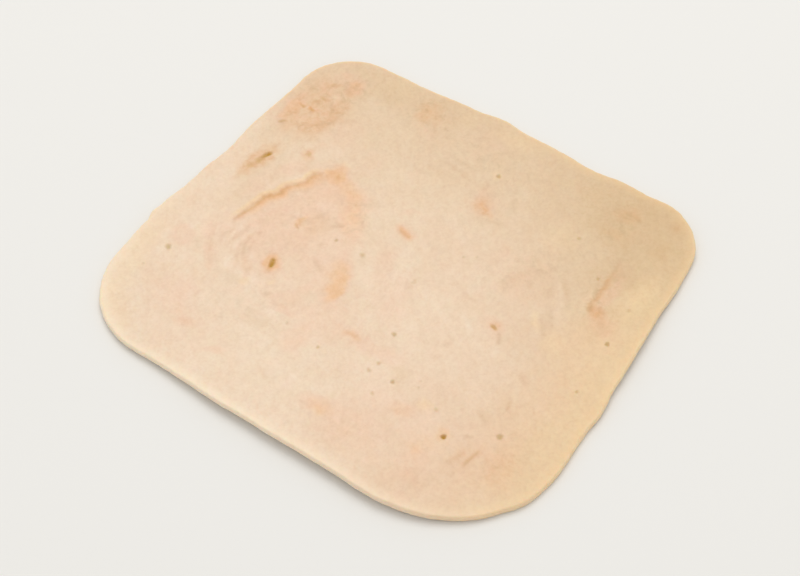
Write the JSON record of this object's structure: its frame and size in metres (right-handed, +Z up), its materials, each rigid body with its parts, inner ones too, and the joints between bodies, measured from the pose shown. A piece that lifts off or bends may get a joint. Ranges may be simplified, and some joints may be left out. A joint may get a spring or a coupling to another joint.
{
  "type": "turkey breast cold cut slice",
  "caption": "Thin, nearly square slice of cooked turkey breast with round corners, a seam between muscles, small pits and slightly lifted edges, lying flat.",
  "frame": {"origin": "middle of the slice's bounding box, on the surface that it lies on", "axes": "+X across the slice, +Y along its longer side, +Z up out of the face that shows the seam"},
  "size_m": [0.0962, 0.1044, 0.0029],
  "materials": {
    "turkey_meat": "moist satin"
  },
  "bodies": {
    "root": {"turkey_slice": "turkey_meat"}
  },
  "joints": []
}
